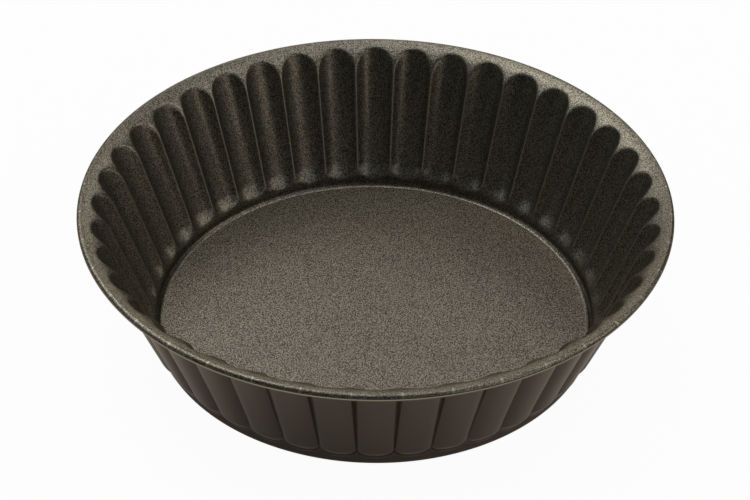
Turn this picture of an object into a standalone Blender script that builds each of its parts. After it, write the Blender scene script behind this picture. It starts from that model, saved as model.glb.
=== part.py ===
# Fluted round cake pan with a loose base, pressed from thin steel sheet.
# Metres, +Z up. The origin is on the pan's axis, in the plane of its underside.
# Flute centres lie at 0, 90, 180 and 270 degrees, so the rim and the flutes are square to X and Y.

import math

import bmesh
import bpy

# Fluted ring
RIM_DIAMETER = 0.250        # over the curled rim
PAN_HEIGHT = 0.0635         # underside to the top of the curled rim
FOOT_DIAMETER = 0.1908      # over the upright band at the foot
FOOT_CORNER = 0.003         # outer radius of the corner under that band
FOOT_BAND = 0.0034          # height of the band above the corner, up to where the wall starts to lean
COLLAR_RADIUS = 0.018       # flare from the wall to the rim, on its upper side
COLLAR_SLOPE = math.radians(16)  # of that flare where it runs into the curled rim
LEDGE_WIDTH = 0.008         # flat ledge inward of the corner, which the loose base lies on
SHEET = 0.0006              # thickness of the steel sheet

# Flutes
FLUTES = 40
FLUTE_DEPTH_FOOT = 0.0025   # bulge of a flute beyond the folds beside it, where the wall starts to lean
FLUTE_LEAN = math.radians(21.5)  # of a flute's middle from vertical; it is straight up to the flare
FLUTE_FLATNESS = 2.6        # a flute's section goes from a parabola at 2 towards a flat-bottomed channel
FLUTE_START = 0.0019        # lowest point of a flute above the foot corner, inside; lower outside by SHEET
FLUTE_TIP_LENGTH = 0.0085   # height of a flute's rounded lower end

# Wire in the curled rim
WIRE_DIAMETER = 0.0016
WIRE_CLEARANCE = 0.0003     # between the wire and the curl round it
CURL_TURN = math.radians(240)  # of the curl, from its top outward

# Loose base
BASE_THICKNESS = 0.001
BASE_UPTURN = math.radians(60)   # of the narrow border that is pressed up to stiffen the base
BASE_UPTURN_RADIUS = 0.001  # of that border's bend, on its upper side
BASE_CLEARANCE = 0.0012     # from the base's edge to the corner round it
SEAT_GAP = 0.0003           # from the ledge to the base that lies on it

# Fineness of the meshes
SAMPLES_PER_FLUTE = 4
PLAIN_SAMPLES_PER_FLUTE = 2
CORNER_STEPS = 3
TIP_STEPS = 2
COLLAR_STEPS = 6
CURL_STEPS = 8
CURL_INSIDE_STEPS = 5
WIRE_SIDES = 6
UPTURN_STEPS = 3

# What follows from those sizes
BEAD_RADIUS = WIRE_DIAMETER / 2 + WIRE_CLEARANCE + SHEET
BEAD_CENTRE = (RIM_DIAMETER / 2 - BEAD_RADIUS, PAN_HEIGHT - BEAD_RADIUS)
CORNER_CENTRE = (FOOT_DIAMETER / 2 - FOOT_CORNER, FOOT_CORNER)
CORNER_INSIDE = FOOT_CORNER - SHEET
WALL_FOOT = (FOOT_DIAMETER / 2 - SHEET, FOOT_CORNER + FOOT_BAND)
FLUTE_TIP = FOOT_CORNER + FLUTE_START
BASE_UNDERSIDE = SHEET + SEAT_GAP
COLLAR_CENTRE = (BEAD_CENTRE[0] + (COLLAR_RADIUS - BEAD_RADIUS) * math.sin(COLLAR_SLOPE),
                 BEAD_CENTRE[1] - (COLLAR_RADIUS - BEAD_RADIUS) * math.cos(COLLAR_SLOPE))


def wall_lean():
    """Angle from vertical of the straight part of the wall along a fold, which touches the flare."""
    across = COLLAR_CENTRE[0] - WALL_FOOT[0]
    up = COLLAR_CENTRE[1] - WALL_FOOT[1]
    return math.acos(COLLAR_RADIUS / math.hypot(across, up)) - math.atan2(up, across)


def straight_radius(height):
    """Inner radius at a height along the fold's straight line, also where it runs on inside the flare."""
    return WALL_FOOT[0] + (height - WALL_FOOT[1]) * math.tan(wall_lean())


def flare(height):
    """How far the flare stands out from that line."""
    if height < COLLAR_CENTRE[1] + COLLAR_RADIUS * math.sin(wall_lean()):
        return 0.0
    rise = height - COLLAR_CENTRE[1]
    return COLLAR_CENTRE[0] - math.sqrt(COLLAR_RADIUS ** 2 - rise ** 2) - straight_radius(height)


def flute_push(height, phase, thickness):
    """How far a flute moves the sheet outward. Phase is 0 on the flute's middle and 1 in the fold, and
    thickness is how far the moved side lies outside the sheet's inner face."""
    if height < FLUTE_TIP - thickness:
        return 0.0
    depth = FLUTE_DEPTH_FOOT + (height - WALL_FOOT[1]) * (math.tan(FLUTE_LEAN) - math.tan(wall_lean()))
    end = max(0.0, 1.0 - (height - FLUTE_TIP + thickness) / FLUTE_TIP_LENGTH)
    return max(0.0, depth * (1.0 - phase ** FLUTE_FLATNESS - end ** 2) - flare(height))


def section_stations():
    """Inner points of the sheet's section from the ledge to the rim, each with its outward normal."""
    down = (0.0, -1.0)
    stations = [((CORNER_CENTRE[0] - LEDGE_WIDTH, SHEET), down)]
    for step in range(CORNER_STEPS + 1):
        turn = math.radians(90) * (1 - step / CORNER_STEPS)
        normal = (math.cos(turn), -math.sin(turn))
        point = (CORNER_CENTRE[0] + CORNER_INSIDE * normal[0], CORNER_CENTRE[1] + CORNER_INSIDE * normal[1])
        stations.append((point, normal))
    heights = {round(FLUTE_TIP + FLUTE_TIP_LENGTH * step / TIP_STEPS, 6) for step in range(TIP_STEPS + 1)}
    lean = wall_lean()
    for height in sorted(heights | {round(WALL_FOOT[1], 6)}):
        turn = lean if height > WALL_FOOT[1] else 0.0
        point = (max(WALL_FOOT[0], straight_radius(height)), height)
        stations.append((point, (math.cos(turn), -math.sin(turn))))
    for step in range(COLLAR_STEPS + 1):
        turn = lean + (math.radians(90) - COLLAR_SLOPE - lean) * step / COLLAR_STEPS
        normal = (math.cos(turn), -math.sin(turn))
        point = (COLLAR_CENTRE[0] - COLLAR_RADIUS * normal[0], COLLAR_CENTRE[1] - COLLAR_RADIUS * normal[1])
        stations.append((point, normal))
    return stations


def plain_circle(radius, height):
    """Points of a plain circle round the pan's axis."""
    count = FLUTES * PLAIN_SAMPLES_PER_FLUTE
    angles = [2 * math.pi * i / count for i in range(count)]
    return [(radius * math.cos(a), radius * math.sin(a), height) for a in angles]


def fluted_circle(radius, height, inside_height, thickness):
    """The same circle, pushed outward by the flutes as they are at the height of the sheet's inner face."""
    if flute_push(inside_height, 0.0, thickness) == 0.0:
        return plain_circle(radius, height)
    count = FLUTES * SAMPLES_PER_FLUTE
    points = []
    for i in range(count):
        angle = 2 * math.pi * i / count
        turn = i / SAMPLES_PER_FLUTE
        phase = 2 * abs(turn - round(turn))
        r = radius + flute_push(inside_height, phase, thickness)
        points.append((r * math.cos(angle), r * math.sin(angle), height))
    return points


def sheet_side(stations, thickness):
    """Circles along one side of the sheet: thickness is 0 for the inside, SHEET for the outside."""
    circles = []
    for inside, normal in stations:
        radius = inside[0] + thickness * normal[0]
        height = inside[1] + thickness * normal[1]
        circles.append(fluted_circle(radius, height, inside[1], thickness))
    return circles


def curl_circles():
    """Circles of the curled rim, from the flare outward and down round the wire, then back inside."""
    circles = []
    for turn in [-COLLAR_SLOPE] + [CURL_TURN * step / CURL_STEPS for step in range(CURL_STEPS + 1)]:
        circles.append(plain_circle(BEAD_CENTRE[0] + BEAD_RADIUS * math.sin(turn),
                                    BEAD_CENTRE[1] + BEAD_RADIUS * math.cos(turn)))
    for step in range(CURL_INSIDE_STEPS + 1):
        turn = (CURL_TURN + COLLAR_SLOPE) * (1 - step / CURL_INSIDE_STEPS) - COLLAR_SLOPE
        circles.append(plain_circle(BEAD_CENTRE[0] + (BEAD_RADIUS - SHEET) * math.sin(turn),
                                    BEAD_CENTRE[1] + (BEAD_RADIUS - SHEET) * math.cos(turn)))
    return circles


def bridge(bm, first, second):
    """Faces between two circles of vertices, where one may have a whole number of times the other's."""
    if len(first) < len(second):
        bridge(bm, second, first)
        return
    ratio = len(first) // len(second)
    for j in range(len(second)):
        fan = [first[(j * ratio + k) % len(first)] for k in range(ratio + 1)]
        here = second[j]
        after = second[(j + 1) % len(second)]
        middle = ratio // 2
        for k in range(middle):
            bm.faces.new((fan[k], fan[k + 1], here))
        if ratio == 1:
            bm.faces.new((fan[0], fan[1], after, here))
            continue
        bm.faces.new((here, fan[middle], after))
        for k in range(middle, ratio):
            bm.faces.new((fan[k], fan[k + 1], after))


def turned_body(name, circles):
    """Object whose closed surface runs through all circles in turn and back to the first."""
    bm = bmesh.new()
    rows = [[bm.verts.new(point) for point in points] for points in circles]
    for first, second in zip(rows, rows[1:] + rows[:1]):
        bridge(bm, first, second)
    bmesh.ops.recalc_face_normals(bm, faces=bm.faces)
    return finished_object(name, bm)


def finished_object(name, bm):
    """Object with the given shape, shaded smooth except over sharp edges."""
    mesh = bpy.data.meshes.new(name)
    bm.to_mesh(mesh)
    bm.free()
    mesh.shade_smooth()
    mesh.set_sharp_from_angle(angle=math.radians(40))
    obj = bpy.data.objects.new(name, mesh)
    bpy.context.scene.collection.objects.link(obj)
    return obj


def give_material(obj, colour, roughness, metallic):
    """Own material of one piece."""
    material = bpy.data.materials.new(obj.name)
    material.use_nodes = True
    shader = material.node_tree.nodes["Principled BSDF"]
    shader.inputs["Base Color"].default_value = (*colour, 1.0)
    shader.inputs["Roughness"].default_value = roughness
    shader.inputs["Metallic"].default_value = metallic
    obj.data.materials.append(material)


def make_fluted_ring():
    """Pressed wall with its ledge at the foot and its curled rim, one piece of coated sheet."""
    stations = section_stations()
    inside = sheet_side(stations[:-1], 0.0)
    outside = sheet_side(stations[:-1], SHEET)
    ring = turned_body("fluted_ring", inside + curl_circles() + outside[::-1])
    give_material(ring, (0.09, 0.075, 0.065), 0.45, 0.6)


def make_rim_wire():
    """Steel wire that the rim is curled round."""
    circles = []
    for side in range(WIRE_SIDES):
        turn = 2 * math.pi * side / WIRE_SIDES
        circles.append(plain_circle(BEAD_CENTRE[0] + WIRE_DIAMETER / 2 * math.sin(turn),
                                    BEAD_CENTRE[1] + WIRE_DIAMETER / 2 * math.cos(turn)))
    wire = turned_body("rim_wire", circles)
    give_material(wire, (0.55, 0.54, 0.52), 0.35, 1.0)


def make_loose_base():
    """Disc that lies on the ledge and lifts out upward. Its origin is its underside's centre."""
    under_radius = BASE_UPTURN_RADIUS + BASE_THICKNESS
    edge_height = BASE_UNDERSIDE + under_radius * (1 - math.cos(BASE_UPTURN))
    drop = CORNER_CENTRE[1] - edge_height
    corner_there = CORNER_CENTRE[0] + math.sqrt(max(0.0, CORNER_INSIDE ** 2 - drop ** 2))
    flat_radius = corner_there - BASE_CLEARANCE - under_radius * math.sin(BASE_UPTURN)
    turns = [BASE_UPTURN * step / UPTURN_STEPS for step in range(UPTURN_STEPS + 1)]
    bend_height = BASE_THICKNESS + BASE_UPTURN_RADIUS
    circles = []
    for radius, side in ((under_radius, turns), (BASE_UPTURN_RADIUS, turns[::-1])):
        for turn in side:
            circles.append(plain_circle(flat_radius + radius * math.sin(turn),
                                        bend_height - radius * math.cos(turn)))
    bm = bmesh.new()
    rows = [[bm.verts.new(point) for point in points] for points in circles]
    for first, second in zip(rows, rows[1:]):
        bridge(bm, first, second)
    bm.faces.new(rows[0])
    bm.faces.new(rows[-1])
    bmesh.ops.recalc_face_normals(bm, faces=bm.faces)
    base = finished_object("loose_base", bm)
    base.location = (0.0, 0.0, BASE_UNDERSIDE)
    give_material(base, (0.12, 0.10, 0.085), 0.5, 0.6)


for old in list(bpy.data.objects):
    bpy.data.objects.remove(old)
make_fluted_ring()
make_rim_wire()
make_loose_base()
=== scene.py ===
# Looks of a fluted round cake pan: a pressed, coated steel ring with a curled rim, and a loose base.

import math

import bpy
from mathutils import Matrix, Vector


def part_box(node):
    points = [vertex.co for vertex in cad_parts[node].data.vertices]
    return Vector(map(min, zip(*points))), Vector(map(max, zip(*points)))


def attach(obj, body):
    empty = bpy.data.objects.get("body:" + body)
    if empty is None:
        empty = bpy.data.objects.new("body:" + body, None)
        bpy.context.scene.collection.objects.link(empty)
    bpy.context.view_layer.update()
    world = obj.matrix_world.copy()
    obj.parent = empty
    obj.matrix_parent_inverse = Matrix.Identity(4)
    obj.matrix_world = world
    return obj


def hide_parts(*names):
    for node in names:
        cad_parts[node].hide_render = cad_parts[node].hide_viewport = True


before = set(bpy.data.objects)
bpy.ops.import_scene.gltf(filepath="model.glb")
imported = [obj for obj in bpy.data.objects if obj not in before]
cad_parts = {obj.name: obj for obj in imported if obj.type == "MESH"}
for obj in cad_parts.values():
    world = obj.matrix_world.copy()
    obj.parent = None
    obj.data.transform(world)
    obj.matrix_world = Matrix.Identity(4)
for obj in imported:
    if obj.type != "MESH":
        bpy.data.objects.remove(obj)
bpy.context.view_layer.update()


# Fluted ring
# One sheet of thin steel, deep-drawn and pressed between fluted dies, makes the ledge under the base, the
# foot, the fluted wall, the collar and the rim, which is curled over a wire. The inside is sprayed with a
# speckled non-stick coating, with a painted highlight along its folds, and the outside with a dark lacquer.
# On the rim a painted black line of shade and a lighter line of painted reflection follow the coating's end.

SHEET = 0.0006               # thickness of the steel
LEDGE_WIDTH = 0.008          # flat ledge that carries the base
FOOT_RADIUS = 0.0954         # over the upright band at the foot
FOOT_CORNER = 0.003          # outer radius of the corner under that band
FOOT_BAND = 0.0034           # height of the band
BAND_BEND = 0.0016           # height over which the band bends into the leaning wall
COLLAR_RADIUS = 0.018        # flare from the wall to the rim, on its upper side
COLLAR_SLOPE = math.radians(16)  # of that flare where it runs into the curl
WIRE_CLEARANCE = 0.0003      # between the wire and the curl round it
CURL_TURN = math.radians(240)    # from the curl's top outward and under, to the sheet's edge
CURL_STEPS_OUTSIDE = 32
CURL_STEPS_INSIDE = 7        # round the wire, where nothing shows

FLUTES = 40
FLUTE_DEPTH_FOOT = 0.0025    # where the wall starts to lean; it grows upward
FLUTE_LEAN = math.radians(21.5)  # of a flute's middle from vertical; it is straight up to the flare
FLUTE_FLATNESS = 2.6         # a flute's section goes from a parabola at 2 towards a flat-bottomed channel
FLUTE_START = 0.0019         # lowest point of a flute above the foot corner, inside; lower outside by SHEET
FLUTE_TIP_LENGTH = 0.0065    # height of a flute's sloping lower end
FLUTE_TIP_BEND = 1.5         # that end goes from a plain slope at 1 to a parabola at 2
FLUTE_EDGE_SOFTNESS = 0.0006     # rounding where a flute runs out in the foot band
FLUTE_EDGE_REACH = 0.5       # share of the lower end over which that rounding grows
ARCH_SOFTNESS = 0.0016       # rounding where a flute runs out in the flare
FOLD_SOFTNESS_INSIDE = 0.05      # rounding of the folds between flutes, as a share of half a flute
FOLD_SOFTNESS_OUTSIDE = 0.001
FOLD_FILL_OUTSIDE = 0.035    # how far the sheet's thickness fills the grooves outside, as such a share
FULLNESS_OUTSIDE = 0.67      # power of the section that makes those grooves narrower than the folds inside
FOLD_LINE_WIDTH = 0.05       # of the painted highlight line on a fold to each side, as a share of half a flute
FOLD_LINE_END = 0.001        # depth taken off a flute's ends at which that line has faded out
HALF_FLUTE_STEPS = 9
STEPS_TO_FOLD = 1.5          # how closely those steps gather at the folds; at 1 they are even
SHARP_ANGLE = math.radians(55)   # over which an edge is shaded sharp: only the bottoms of the outer grooves

COATED_TURN = math.radians(70)   # how far over the curl the inside coating reaches, from its top outward
PAINTED_SHADE_TURN = math.radians(82)   # end of the narrow painted black line of shade under the curl, after the coating's end
PAINTED_REFLECTION_TURN = math.radians(112)   # end of the lighter line that follows it, a painted reflection of the white table
COATED = 0.0                 # the sheet's two sides
LACQUERED = 1.0
PAINTED_SHADE_TONE = 0.0             # the lacquer's tone goes from painted black shade over its own colour to a painted light reflection
LACQUER_TONE = 0.5
PAINTED_REFLECTION_TONE = 1.0

ring_low, ring_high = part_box("fluted_ring")
wire_low, wire_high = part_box("rim_wire")
RIM_RADIUS = ring_high.x
PAN_HEIGHT = ring_high.z
WIRE_RADIUS = (wire_high.z - wire_low.z) / 2
BEAD_RADIUS = WIRE_RADIUS + WIRE_CLEARANCE + SHEET
BEAD_CENTRE = Vector((RIM_RADIUS - BEAD_RADIUS, PAN_HEIGHT - BEAD_RADIUS))
CORNER_CENTRE = Vector((FOOT_RADIUS - FOOT_CORNER, FOOT_CORNER))
WALL_FOOT = Vector((FOOT_RADIUS - SHEET, FOOT_CORNER + FOOT_BAND))
FLUTE_TIP = FOOT_CORNER + FLUTE_START
UNDER_COLLAR = Vector((math.sin(COLLAR_SLOPE), -math.cos(COLLAR_SLOPE)))   # square to it, beside the curl
COLLAR_CENTRE = BEAD_CENTRE + (COLLAR_RADIUS - BEAD_RADIUS) * UNDER_COLLAR
COLLAR_REACH = COLLAR_CENTRE - WALL_FOOT
WALL_LEAN = math.acos(COLLAR_RADIUS / COLLAR_REACH.length) - math.atan2(COLLAR_REACH.y, COLLAR_REACH.x)
WALL_TOP = COLLAR_CENTRE.y + COLLAR_RADIUS * math.sin(WALL_LEAN)


class Value:
    """A socket of a node tree. Arithmetic on it adds Math nodes, and node() adds any other node."""

    def __init__(self, tree, socket=None):
        self.tree = tree
        self.socket = socket

    def node(self, kind, settings=None, inputs=None, output=0):
        """Adds a node, with its settings first and then its sockets' values or links."""
        added = self.tree.nodes.new(kind)
        for name, setting in (settings or {}).items():
            if name == "stops":
                while len(added.color_ramp.elements) < len(setting):
                    added.color_ramp.elements.new(1.0)
                for element, (place, colour) in zip(added.color_ramp.elements, setting):
                    element.position = place
                    element.color = colour
            else:
                setattr(added, name, setting)
        for name, value in (inputs or {}).items():
            if isinstance(value, Value):
                self.tree.links.new(value.socket, added.inputs[name])
            else:
                added.inputs[name].default_value = value
        return Value(self.tree, added.outputs[output])

    def other(self, output):
        """Another output of the same node."""
        return Value(self.tree, self.socket.node.outputs[output])

    def math(self, operation, first, second=0.0, third=0.0):
        return self.node("ShaderNodeMath", {"operation": operation}, {0: first, 1: second, 2: third})

    def __add__(self, term):
        return self.math("ADD", self, term)

    def __radd__(self, term):
        return self.math("ADD", term, self)

    def __sub__(self, term):
        return self.math("SUBTRACT", self, term)

    def __rsub__(self, term):
        return self.math("SUBTRACT", term, self)

    def __mul__(self, factor):
        return self.math("MULTIPLY", self, factor)

    def __rmul__(self, factor):
        return self.math("MULTIPLY", factor, self)

    def __truediv__(self, divisor):
        return self.math("DIVIDE", self, divisor)

    def __pow__(self, exponent):
        return self.math("POWER", self, exponent)

    def __abs__(self):
        return self.math("ABSOLUTE", self)

    def floor(self):
        return self.math("FLOOR", self)

    def step_up(self, low, high):
        """0 below low, 1 above high, and a smooth rise between them."""
        return self.node("ShaderNodeMapRange", {"interpolation_type": "SMOOTHSTEP", "clamp": True},
                         {"Value": self, "From Min": low, "From Max": high})

    def blend(self, first, second):
        """One colour or the other, by this value from 0 to 1."""
        return self.node("ShaderNodeMix", {"data_type": "RGBA", "clamp_factor": True},
                         {0: self, 6: first, 7: second}, output=2)


def flare(height):
    """How far the flare stands out from the straight line of the wall, at a height."""
    if height < WALL_TOP:
        return 0.0
    straight = WALL_FOOT.x + (height - WALL_FOOT.y) * math.tan(WALL_LEAN)
    return COLLAR_CENTRE.x - math.sqrt(COLLAR_RADIUS ** 2 - (height - COLLAR_CENTRE.y) ** 2) - straight


def evenly(low, high, steps):
    """Steps + 1 even values from low to high."""
    return [low + (high - low) * i / steps for i in range(steps + 1)]


def sheet_line(corner_steps, tip_steps, wall_steps, collar_steps):
    """Inner points of the fold line from the ledge to the curl, each with its outward normal."""
    line = [(CORNER_CENTRE - Vector((LEDGE_WIDTH, FOOT_CORNER - SHEET)), Vector((0.0, -1.0)))]
    for turn in evenly(math.radians(90), 0.0, corner_steps):
        normal = Vector((math.cos(turn), -math.sin(turn)))
        line.append((CORNER_CENTRE + (FOOT_CORNER - SHEET) * normal, normal))
    heights = evenly(FOOT_CORNER, FLUTE_TIP + FLUTE_TIP_LENGTH, tip_steps)[1:]
    heights += evenly(FLUTE_TIP + FLUTE_TIP_LENGTH, WALL_TOP, wall_steps)[1:-1]
    for height in heights:
        bend = min(1.0, max(0.0, (height - WALL_FOOT.y) / BAND_BEND + 0.5))
        normal = Vector((math.cos(WALL_LEAN * bend), -math.sin(WALL_LEAN * bend)))
        rise = bend ** 2 / 2 if bend < 1.0 else (height - WALL_FOOT.y) / BAND_BEND
        line.append((Vector((WALL_FOOT.x + BAND_BEND * rise * math.tan(WALL_LEAN), height)), normal))
    for turn in evenly(WALL_LEAN, math.radians(90) - COLLAR_SLOPE, collar_steps):
        normal = Vector((math.cos(turn), -math.sin(turn)))
        line.append((COLLAR_CENTRE - COLLAR_RADIUS * normal, normal))
    return line


# What a section's point carries besides its place. These values are those of an unfluted point.
UNFLUTED = {
    "depth": 0.0,            # of the flutes at this point
    "end_depth": 0.0,        # taken off that depth where a flute runs out
    "end_softness": 0.0,
    "fold_softness": 1.0,
    "fold_fill": 0.0,
    "fullness": 1.0,
    "side": COATED,
    "tone": LACQUER_TONE,
}


def side_points(line, thickness, **folds):
    """One side of the sheet from the ledge to the curl, with the flutes' depth and ends at each point."""
    points = []
    for inside, normal in line:
        height = inside.y
        depth = FLUTE_DEPTH_FOOT + (height - WALL_FOOT.y) * (math.tan(FLUTE_LEAN) - math.tan(WALL_LEAN))
        end = max(0.0, 1.0 - (height - FLUTE_TIP + thickness) / FLUTE_TIP_LENGTH)
        end_depth = depth * end ** FLUTE_TIP_BEND + flare(height)
        end_softness = FLUTE_EDGE_SOFTNESS * min(1.0, end / FLUTE_EDGE_REACH)
        end_softness += min(ARCH_SOFTNESS, flare(height))
        points.append((inside + thickness * normal,
                       dict(UNFLUTED, depth=depth, end_depth=end_depth, end_softness=end_softness, **folds)))
    return points


def curl_points(radius, turns):
    """One side of the curl. Its outer side carries the end of the coating, then a painted shade line and a
    painted reflection line.
    """
    points = []
    for turn in turns:
        side = COATED if turn < COATED_TURN and radius == BEAD_RADIUS else LACQUERED
        # Painted shade, then painted reflection: the tone paints a black line for the shadow under the curl,
        # then a lighter line for the white table reflected on its underside.
        tone = LACQUER_TONE
        if turn < PAINTED_SHADE_TURN:
            tone = PAINTED_SHADE_TONE
        elif turn < PAINTED_REFLECTION_TURN:
            tone = PAINTED_REFLECTION_TONE
        place = BEAD_CENTRE + radius * Vector((math.sin(turn), math.cos(turn)))
        points.append((place, dict(UNFLUTED, side=side, tone=tone)))
    return points


def section_points():
    """The ring's closed section: up the inside, round the curl and back, and down the outside."""
    inside_line = sheet_line(corner_steps=6, tip_steps=18, wall_steps=4, collar_steps=27)
    outside_line = sheet_line(corner_steps=5, tip_steps=14, wall_steps=3, collar_steps=15)
    points = side_points(inside_line, 0.0, fold_softness=FOLD_SOFTNESS_INSIDE)
    points += curl_points(BEAD_RADIUS, evenly(-COLLAR_SLOPE, CURL_TURN, CURL_STEPS_OUTSIDE)[1:])
    points += curl_points(BEAD_RADIUS - SHEET, evenly(CURL_TURN, -COLLAR_SLOPE, CURL_STEPS_INSIDE)[:-1])
    points += side_points(outside_line[::-1], SHEET, fold_softness=FOLD_SOFTNESS_OUTSIDE,
                          fold_fill=FOLD_FILL_OUTSIDE, fullness=FULLNESS_OUTSIDE, side=LACQUERED)
    points.append(points[0])
    return points


def section_mesh(name):
    """The section as a line of edges, which the Geometry Nodes turn into the ring."""
    points = section_points()
    mesh = bpy.data.meshes.new(name)
    vertices = [(place.x, 0.0, place.y) for place, values in points]
    edges = [(i, i + 1) for i in range(len(points) - 1)]
    mesh.from_pydata(vertices, edges, [])
    for attribute in UNFLUTED:
        layer = mesh.attributes.new(attribute, "FLOAT", "POINT")
        layer.data.foreach_set("value", [values[attribute] for place, values in points])
    return mesh


RING_SIZES = {
    "Flutes": FLUTES,
    "Half flute steps": HALF_FLUTE_STEPS,
    "Steps to fold": STEPS_TO_FOLD,
    "Flute flatness": FLUTE_FLATNESS,
    "Fold line width": FOLD_LINE_WIDTH,
    "Fold line end": FOLD_LINE_END,
}
ROW_ROUNDING = 1e-4          # keeps a whole row number from being rounded down
MERGE_DISTANCE = 1e-6        # joins the section's two ends, and the grid's first and last column


def turning_tree(inside_material, outside_material):
    """Geometry Nodes that turn a section round the axis and press the flutes into it."""
    tree = bpy.data.node_groups.new("turn_and_flute", "GeometryNodeTree")
    tree.interface.new_socket("Section", in_out="INPUT", socket_type="NodeSocketGeometry")
    for name, size in RING_SIZES.items():
        kind = "NodeSocketInt" if isinstance(size, int) else "NodeSocketFloat"
        tree.interface.new_socket(name, in_out="INPUT", socket_type=kind)
    tree.interface.new_socket("Ring", in_out="OUTPUT", socket_type="NodeSocketGeometry")
    given = Value(tree).node("NodeGroupInput", output="Section")
    flutes = given.other("Flutes")
    half_steps = given.other("Half flute steps")

    count = given.node("GeometryNodeAttributeDomainSize", {"component": "MESH"}, {"Geometry": given})
    around = flutes * half_steps * 2
    grid = given.node("GeometryNodeMeshGrid", {}, {"Vertices X": count, "Vertices Y": around + 1})
    index = given.node("GeometryNodeInputIndex")
    row = (index / (around + 1) + ROW_ROUNDING).floor()
    column = index - row * (around + 1)

    def of_section(data_type, value):
        return given.node("GeometryNodeSampleIndex", {"data_type": data_type, "domain": "POINT"},
                          {"Geometry": given, "Value": value, "Index": row})

    def attribute(name):
        return given.node("GeometryNodeInputNamedAttribute", {"data_type": "FLOAT"}, {"Name": name})

    section_place = of_section("FLOAT_VECTOR", given.node("GeometryNodeInputPosition"))
    place = given.node("ShaderNodeSeparateXYZ", {}, {0: section_place})
    depth, end_depth, end_softness, softness, fill, fullness, side, tone = (
        of_section("FLOAT", attribute(name)) for name in UNFLUTED)

    # Steps run from the middle of a flute to the fold, and are finer near the fold.
    turn = column / (half_steps * 2)
    nearest = (turn + 0.5).floor()
    offset = turn - nearest
    from_fold = (1 - abs(offset) * 2) ** given.other("Steps to fold")
    from_middle = (1 - from_fold) / 2 * given.math("SIGN", offset)
    angle = (nearest + from_middle) / flutes * (2 * math.pi)
    filled = from_fold * (1 - fill) + fill
    rounded = given.math("SQRT", filled * filled + softness * softness) - softness
    rounded = rounded / (given.math("SQRT", softness * softness + 1) - softness)
    bulge = (1 - (1 - rounded) ** given.other("Flute flatness")) ** fullness
    push = given.math("SMOOTH_MAX", depth * bulge - end_depth, 0.0, end_softness)
    radius = place + push

    position = given.node("ShaderNodeCombineXYZ", {}, {"X": radius * given.math("COSINE", angle),
                                                       "Y": radius * given.math("SINE", angle),
                                                       "Z": place.other("Z")})
    shaped = given.node("GeometryNodeSetPosition", {}, {"Geometry": grid, "Position": position})
    shaped = given.node("GeometryNodeStoreNamedAttribute", {"data_type": "FLOAT", "domain": "POINT"},
                        {"Geometry": shaped, "Name": "tone", "Value": tone})
    # Painted highlight: where the lighter line on each fold's crest lies, fading out at the flutes' ends.
    off_line = from_fold.step_up(0.0, given.other("Fold line width"))
    past_line = end_depth.step_up(0.0, given.other("Fold line end"))
    fold = (1 - off_line) * (1 - past_line)
    shaped = given.node("GeometryNodeStoreNamedAttribute", {"data_type": "FLOAT", "domain": "POINT"},
                        {"Geometry": shaped, "Name": "fold", "Value": fold})
    outside = given.node("FunctionNodeCompare", {"data_type": "FLOAT", "operation": "GREATER_THAN"},
                         {0: side, 1: (COATED + LACQUERED) / 2})
    shaped = given.node("GeometryNodeSetMaterial", {}, {"Geometry": shaped, "Material": inside_material})
    shaped = given.node("GeometryNodeSetMaterial", {}, {"Geometry": shaped, "Selection": outside,
                                                        "Material": outside_material})
    closed = given.node("GeometryNodeMergeByDistance", {}, {"Geometry": shaped, "Distance": MERGE_DISTANCE})
    smooth = given.node("GeometryNodeSetShadeSmooth", {}, {"Geometry": closed})
    whole = given.node("GeometryNodeRealizeInstances", {}, {"Geometry": smooth})
    result = tree.nodes.new("NodeGroupOutput")
    tree.links.new(whole.socket, result.inputs["Ring"])
    return tree


def plain_mesh(obj):
    """Turns what an object's modifiers make into its own plain mesh, and removes them."""
    bpy.context.view_layer.update()
    made = bpy.data.meshes.new_from_object(obj.evaluated_get(bpy.context.evaluated_depsgraph_get()))
    obj.modifiers.clear()
    made.set_sharp_from_angle(angle=SHARP_ANGLE)
    obj.data = made


COATING_GREY = (0.142, 0.133, 0.110, 1.0)
COATING_DARK_GRAINS = (0.070, 0.066, 0.055, 1.0)
COATING_LIGHT_GRAINS = (0.270, 0.256, 0.210, 1.0)
PAINTED_FOLD_HIGHLIGHT = (0.43, 0.41, 0.34, 1.0)   # painted highlight on the folds' crests
GRAIN_SCALE = 2000.0         # of the noise, per metre
GRAIN_CONTRAST = 8.0
CLOUD_SCALE = 60.0           # of slow changes between lighter and darker
CLOUD_CONTRAST = 0.3
ROUGHNESS_OF_GRAINS = 0.15   # how much rougher the lighter grains are
GRAIN_HEIGHT = 0.0001
COATING_SHEEN = (0.50, 0.46, 0.38, 1.0)


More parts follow.
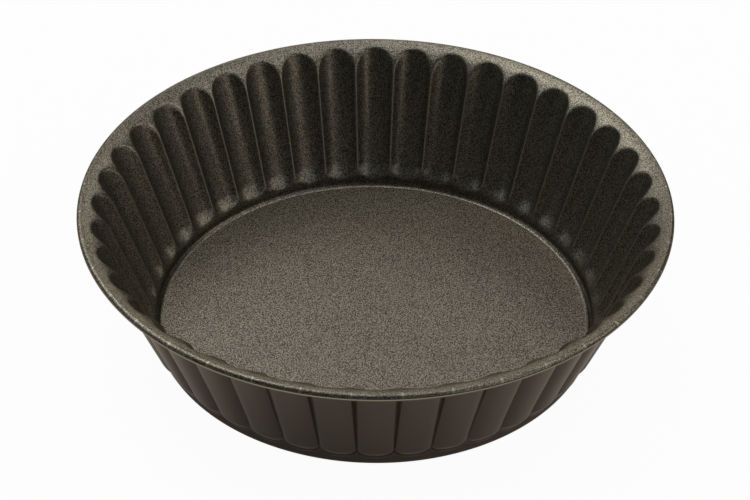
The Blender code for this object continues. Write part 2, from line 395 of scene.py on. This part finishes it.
def speckled_coating(name, metallic, roughness, colour, dark, light, fold_highlight=None):
    """Sprayed non-stick coating: a satin dark film full of fine lighter and darker grains."""
    material = bpy.data.materials.new(name)
    material.use_nodes = True
    tree = material.node_tree
    shader = tree.nodes["Principled BSDF"]
    at = Value(tree).node("ShaderNodeTexCoord", output="Object")
    fine = at.node("ShaderNodeTexNoise", {"noise_dimensions": "3D"},
                   {"Vector": at, "Scale": GRAIN_SCALE, "Detail": 1.0, "Roughness": 0.6})
    coarse = at.node("ShaderNodeTexNoise", {"noise_dimensions": "3D"},
                     {"Vector": at, "Scale": CLOUD_SCALE, "Detail": 3.0, "Roughness": 0.5})
    grain = (fine - 0.5) * GRAIN_CONTRAST + 0.5 + (coarse - 0.5) * CLOUD_CONTRAST
    stops = [(0.0, dark), (0.5, colour), (1.0, light)]
    tint = grain.node("ShaderNodeValToRGB", {"stops": stops}, {0: grain})
    # Painted highlight: the crests of the folds are painted lighter.
    if fold_highlight:
        fold = at.node("ShaderNodeAttribute", {"attribute_name": "fold"}, output="Fac")
        tint = fold.blend(tint, fold_highlight)
    bump = at.node("ShaderNodeBump", {}, {"Strength": 0.25, "Distance": GRAIN_HEIGHT, "Height": fine})
    tree.links.new(tint.socket, shader.inputs["Base Color"])
    tree.links.new((roughness + (fine - 0.5) * ROUGHNESS_OF_GRAINS).socket, shader.inputs["Roughness"])
    tree.links.new(bump.socket, shader.inputs["Normal"])
    shader.inputs["Metallic"].default_value = metallic
    shader.inputs["Specular IOR Level"].default_value = 0.2
    shader.inputs["Specular Tint"].default_value = COATING_SHEEN
    return material


LACQUER_BROWN = (0.122, 0.098, 0.083, 1.0)
LACQUER_LIGHT_BROWN = (0.146, 0.117, 0.099, 1.0)
# Painted shade: black for the shadowed line under the curl.
PAINTED_SHADE_BLACK = (0.012, 0.011, 0.010, 1.0)
PAINTED_REFLECTION_LIGHT = (0.36, 0.32, 0.23, 1.0)   # painted reflection of the white table on the curl's underside
LACQUER_ROUGHNESS = 0.20
LACQUER_CLOUDING = 0.10      # how much that changes over the surface
LACQUER_SHEEN = (0.94, 0.87, 0.78, 1.0)


def smooth_lacquer():
    """Glossy dark brown lacquer on the outside, with a painted black shade line and a painted light
    reflection line on the rim.
    """
    material = bpy.data.materials.new("outside_lacquer")
    material.use_nodes = True
    tree = material.node_tree
    shader = tree.nodes["Principled BSDF"]
    at = Value(tree).node("ShaderNodeTexCoord", output="Object")
    cloud = at.node("ShaderNodeTexNoise", {"noise_dimensions": "3D"},
                    {"Vector": at, "Scale": 45.0, "Detail": 3.0, "Roughness": 0.55})
    tint = cloud.blend(LACQUER_BROWN, LACQUER_LIGHT_BROWN)
    tone = at.node("ShaderNodeAttribute", {"attribute_name": "tone"}, output="Fac")
    # Painted shade: tone 0 paints the rim's line black.
    toned = (tone * 2).blend(PAINTED_SHADE_BLACK, tint)
    # Painted reflection: tone 1 paints the lighter line of the white table reflected under the curl.
    toned = (tone * 2 - 1).blend(toned, PAINTED_REFLECTION_LIGHT)
    tree.links.new(toned.socket, shader.inputs["Base Color"])
    tree.links.new((LACQUER_ROUGHNESS + (cloud - 0.5) * LACQUER_CLOUDING).socket, shader.inputs["Roughness"])
    shader.inputs["Metallic"].default_value = 0.85
    shader.inputs["Specular IOR Level"].default_value = 0.2
    shader.inputs["Specular Tint"].default_value = LACQUER_SHEEN
    return material


inside_coating = speckled_coating("inside_coating", metallic=0.91, roughness=0.38, colour=COATING_GREY,
                                  dark=COATING_DARK_GRAINS, light=COATING_LIGHT_GRAINS,
                                  fold_highlight=PAINTED_FOLD_HIGHLIGHT)
outside_lacquer = smooth_lacquer()

ring = bpy.data.objects.new("pressed_ring", section_mesh("pressed_ring"))
bpy.context.scene.collection.objects.link(ring)
turning = ring.modifiers.new("turning", "NODES")
turning.node_group = turning_tree(inside_coating, outside_lacquer)
for socket in turning.node_group.interface.items_tree:
    if socket.name in RING_SIZES:
        turning[socket.identifier] = RING_SIZES[socket.name]
plain_mesh(ring)
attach(ring, "ring")
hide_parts("fluted_ring")


# Wire in the rim
# Bare drawn steel wire, bent to a ring. It stiffens the rim: the sheet's edge is curled round it and holds
# it, so it hardly shows.

WIRE_DARK = (0.42, 0.41, 0.39, 1.0)
WIRE_LIGHT = (0.60, 0.59, 0.57, 1.0)
WIRE_ROUGHNESS = 0.28

wire_steel = bpy.data.materials.new("wire_steel")
wire_steel.use_nodes = True
wire_tree = wire_steel.node_tree
wire_shader = wire_tree.nodes["Principled BSDF"]
wire_at = Value(wire_tree).node("ShaderNodeTexCoord", output="Object")
wire_grain = wire_at.node("ShaderNodeTexNoise", {}, {"Vector": wire_at, "Scale": 900.0, "Detail": 2.0})
wire_tree.links.new(wire_grain.blend(WIRE_DARK, WIRE_LIGHT).socket, wire_shader.inputs["Base Color"])
wire_tree.links.new((WIRE_ROUGHNESS + wire_grain * 0.2).socket, wire_shader.inputs["Roughness"])
wire_shader.inputs["Metallic"].default_value = 1.0
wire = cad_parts["rim_wire"]
wire.data.materials.clear()
wire.data.materials.append(wire_steel)


# Loose base
# A flat disc blanked from slightly thicker steel, with a narrow border pressed up to stiffen it, and coated
# like the inside of the ring. It lies loose on the ledge, with a little play and a thin dark gap all round.

BASE_THICKNESS = 0.001
BASE_UPTURN = math.radians(60)   # turn of the pressed-up border
BASE_UPTURN_RADIUS = 0.001   # of that border's bend, on its upper side
BASE_UPTURN_STEPS = 7
BASE_SHARES = (0.0, 0.3, 0.6, 0.9)   # where rings of points divide the flat part
BASE_SEGMENTS = 320
BASE_GREY = (0.141, 0.131, 0.109, 1.0)
BASE_DARK_GRAINS = (0.051, 0.047, 0.038, 1.0)
BASE_LIGHT_GRAINS = (0.330, 0.306, 0.254, 1.0)
base_low, base_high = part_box("loose_base")


def base_profile():
    """Points from the middle of the underside out, round the edge and back to the middle of the top."""
    under_radius = BASE_UPTURN_RADIUS + BASE_THICKNESS
    bend = Vector((base_high.x - under_radius * math.sin(BASE_UPTURN), base_low.z + under_radius))
    turns = evenly(0.0, BASE_UPTURN, BASE_UPTURN_STEPS)
    outward = [Vector((math.sin(turn), -math.cos(turn))) for turn in turns]
    points = [Vector((bend.x * share, base_low.z)) for share in BASE_SHARES]
    points += [bend + under_radius * direction for direction in outward]
    points += [bend + BASE_UPTURN_RADIUS * direction for direction in reversed(outward)]
    points += [Vector((bend.x * share, base_low.z + BASE_THICKNESS)) for share in reversed(BASE_SHARES)]
    return points


def turned_disc(name, profile, count):
    """Mesh of a profile turned round the axis, whose first and last points lie on the axis."""
    vertices = [(0.0, 0.0, profile[0].y)]
    for point in profile[1:-1]:
        for i in range(count):
            angle = 2 * math.pi * i / count
            vertices.append((point.x * math.cos(angle), point.x * math.sin(angle), point.y))
    vertices.append((0.0, 0.0, profile[-1].y))
    rows = len(profile) - 2
    faces = [(0, 1 + (i + 1) % count, 1 + i) for i in range(count)]
    for row in range(rows - 1):
        start = 1 + row * count
        for i in range(count):
            after = (i + 1) % count
            faces.append((start + i, start + after, start + count + after, start + count + i))
    start = 1 + (rows - 1) * count
    faces += [(start + i, start + (i + 1) % count, len(vertices) - 1) for i in range(count)]
    mesh = bpy.data.meshes.new(name)
    mesh.from_pydata(vertices, [], faces)
    mesh.shade_smooth()
    return mesh


base_coating = speckled_coating("base_coating", metallic=0.76, roughness=0.35, colour=BASE_GREY,
                                dark=BASE_DARK_GRAINS, light=BASE_LIGHT_GRAINS)
base = bpy.data.objects.new("base_disc", turned_disc("base_disc", base_profile(), BASE_SEGMENTS))
bpy.context.scene.collection.objects.link(base)
base.data.materials.append(base_coating)
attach(base, "base")
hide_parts("loose_base")


# Studio
# A white table under the pan, large soft lamps round it and the camera in the photograph's place. Two main
# lamps hang high behind the pan on its left and one over it. Others stand lower, behind it and at its sides.

WHITE = (1.0, 1.0, 1.0, 1.0)
TABLE_HALF_WIDTH = 6.0
TABLE_GREY = (0.8, 0.8, 0.8, 1.0)
TABLE_WHITE_SEEN = 0.96      # share of plain white that the camera sees; the rest keeps the pan's shadow
TABLE_WHITE_REFLECTED = 0.12     # the same in the pan's reflections
TABLE_WHITE_THROUGH = 0.8    # the same through anything clear
SKY_STRENGTH = 0.003         # of the world's own light; the lamps do the rest
SKY_WHITE_REFLECTED = 0.01   # share of the white backdrop in reflections
TABLE_DROP = 0.0001          # of its top below the ledge's flat underside, so that the two don't coincide

floor_mesh = bpy.data.meshes.new("table")
corners = [(x * TABLE_HALF_WIDTH, y * TABLE_HALF_WIDTH, 0.0)
           for x, y in ((-1, -1), (1, -1), (1, 1), (-1, 1))]
floor_mesh.from_pydata(corners, [], [(0, 1, 2, 3)])
floor = bpy.data.objects.new("table", floor_mesh)
floor.location.z = -TABLE_DROP
bpy.context.scene.collection.objects.link(floor)

table_white = bpy.data.materials.new("table_white")
table_white.use_nodes = True
table_tree = table_white.node_tree
table_paint = table_tree.nodes["Principled BSDF"]
table_paint.inputs["Base Color"].default_value = TABLE_GREY
table_paint.inputs["Roughness"].default_value = 0.9
paint = Value(table_tree, table_paint.outputs["BSDF"])
glow = paint.node("ShaderNodeEmission", {}, {"Color": WHITE, "Strength": 1.0})
ray = paint.node("ShaderNodeLightPath", output="Is Camera Ray")
seen = ray * TABLE_WHITE_SEEN + ray.other("Is Glossy Ray") * TABLE_WHITE_REFLECTED
seen = seen + ray.other("Is Transmission Ray") * TABLE_WHITE_THROUGH
surface = paint.node("ShaderNodeMixShader", {}, {0: seen, 1: paint, 2: glow})
table_tree.links.new(surface.socket, table_tree.nodes["Material Output"].inputs["Surface"])
floor.data.materials.append(table_white)

world = bpy.data.worlds.new("studio")
world.use_nodes = True
bpy.context.scene.world = world
world_tree = world.node_tree
world_light = world_tree.nodes["Background"]
world_light.inputs["Color"].default_value = WHITE
world_light.inputs["Strength"].default_value = SKY_STRENGTH
sky = Value(world_tree, world_light.outputs["Background"])
backdrop = sky.node("ShaderNodeBackground", {}, {"Color": WHITE, "Strength": 1.0})
sky_ray = sky.node("ShaderNodeLightPath", output="Is Camera Ray")
seen_sky = sky_ray + sky_ray.other("Is Glossy Ray") * SKY_WHITE_REFLECTED
seen_sky = seen_sky + sky_ray.other("Is Transmission Ray")
whole_sky = sky.node("ShaderNodeMixShader", {}, {0: seen_sky, 1: sky, 2: backdrop})
world_tree.links.new(whole_sky.socket, world_tree.nodes["World Output"].inputs["Surface"])

LAMP_DISTANCE = 1.5
LAMP_AIM = Vector((0.0, 0.0, 0.03))   # about halfway up the pan's axis


def soft_lamp(name, azimuth, elevation, width, brightness, colour):
    """Round lamp aimed at the pan. Its azimuth from +X towards +Y, its elevation and its width as seen from
    the pan are in degrees, and its brightness is that of its face."""
    lamp = bpy.data.lights.new(name, "AREA")
    lamp.shape = "DISK"
    lamp.size = 2 * LAMP_DISTANCE * math.tan(math.radians(width / 2))
    lamp.energy = math.pi * math.pi * (lamp.size / 2) ** 2 * brightness
    lamp.color = colour
    side = math.radians(azimuth)
    up = math.radians(elevation)
    away = Vector((math.cos(side) * math.cos(up), math.sin(side) * math.cos(up), math.sin(up)))
    holder = bpy.data.objects.new(name, lamp)
    holder.location = away * LAMP_DISTANCE + LAMP_AIM
    holder.rotation_euler = away.to_track_quat("Z", "Y").to_euler()
    bpy.context.scene.collection.objects.link(holder)


soft_lamp("main_lamp_left", 150, 55, 40, 1.72, (1.0, 0.97, 0.93))
soft_lamp("main_lamp_back", 120, 55, 40, 1.45, (1.0, 0.94, 0.89))
soft_lamp("top_lamp", 0, 87, 56, 0.95, (1.0, 0.99, 0.98))
soft_lamp("back_left_lamp", 135, 30, 32, 1.28, (1.0, 0.97, 0.92))
soft_lamp("back_lamp", 90, 30, 32, 0.55, (1.0, 0.96, 0.98))
soft_lamp("back_right_lamp", 62, 32, 26, 1.90, (1.0, 0.95, 0.87))
soft_lamp("low_back_lamp", 90, 10, 24, 1.30, (1.0, 0.93, 0.82))
soft_lamp("right_lamp", 0, 30, 32, 1.40, (1.0, 0.94, 0.82))
soft_lamp("upper_right_lamp", 0, 55, 40, 0.88, (1.0, 0.94, 0.87))
soft_lamp("front_right_lamp", 315, 30, 32, 0.70, (0.97, 0.98, 1.0))
soft_lamp("low_front_right_lamp", 315, 10, 24, 1.05, (1.0, 0.84, 0.70))
soft_lamp("left_lamp", 180, 34, 22, 1.05, (0.90, 1.0, 0.96))

CAMERA_DISTANCE = 0.969      # from the point of the pan's axis that it aims at
CAMERA_AIM_HEIGHT = 0.06215      # of that point
CAMERA_ELEVATION = math.radians(36.723)
CAMERA_AZIMUTH = math.radians(-0.6)
CAMERA_ROLL = math.radians(0.625)
SENSOR_WIDTH = 36
IMAGE_WIDTH = 750            # of the photograph, in pixels, as are the next three
IMAGE_HEIGHT = 500
FOCAL_PIXELS = 2306.0        # focal length
IMAGE_CENTRE = (375.69, 201.21)   # where the point aimed at lies, from the top left

lens = bpy.data.cameras.new("photo_camera")
lens.sensor_width = SENSOR_WIDTH
lens.lens = FOCAL_PIXELS / IMAGE_WIDTH * SENSOR_WIDTH
lens.shift_x = -(IMAGE_CENTRE[0] - IMAGE_WIDTH / 2) / IMAGE_WIDTH
lens.shift_y = (IMAGE_CENTRE[1] - IMAGE_HEIGHT / 2) / IMAGE_WIDTH
camera = bpy.data.objects.new("photo_camera", lens)
bpy.context.scene.collection.objects.link(camera)
stand = Vector((0, -CAMERA_DISTANCE * math.cos(CAMERA_ELEVATION),
                CAMERA_DISTANCE * math.sin(CAMERA_ELEVATION) + CAMERA_AIM_HEIGHT))
camera.matrix_world = (Matrix.Rotation(CAMERA_AZIMUTH, 4, "Z") @ Matrix.Translation(stand)
                       @ Matrix.Rotation(math.radians(90) - CAMERA_ELEVATION, 4, "X")
                       @ Matrix.Rotation(CAMERA_ROLL, 4, "Z"))
bpy.context.scene.camera = camera
bpy.context.scene.view_settings.view_transform = "Standard"
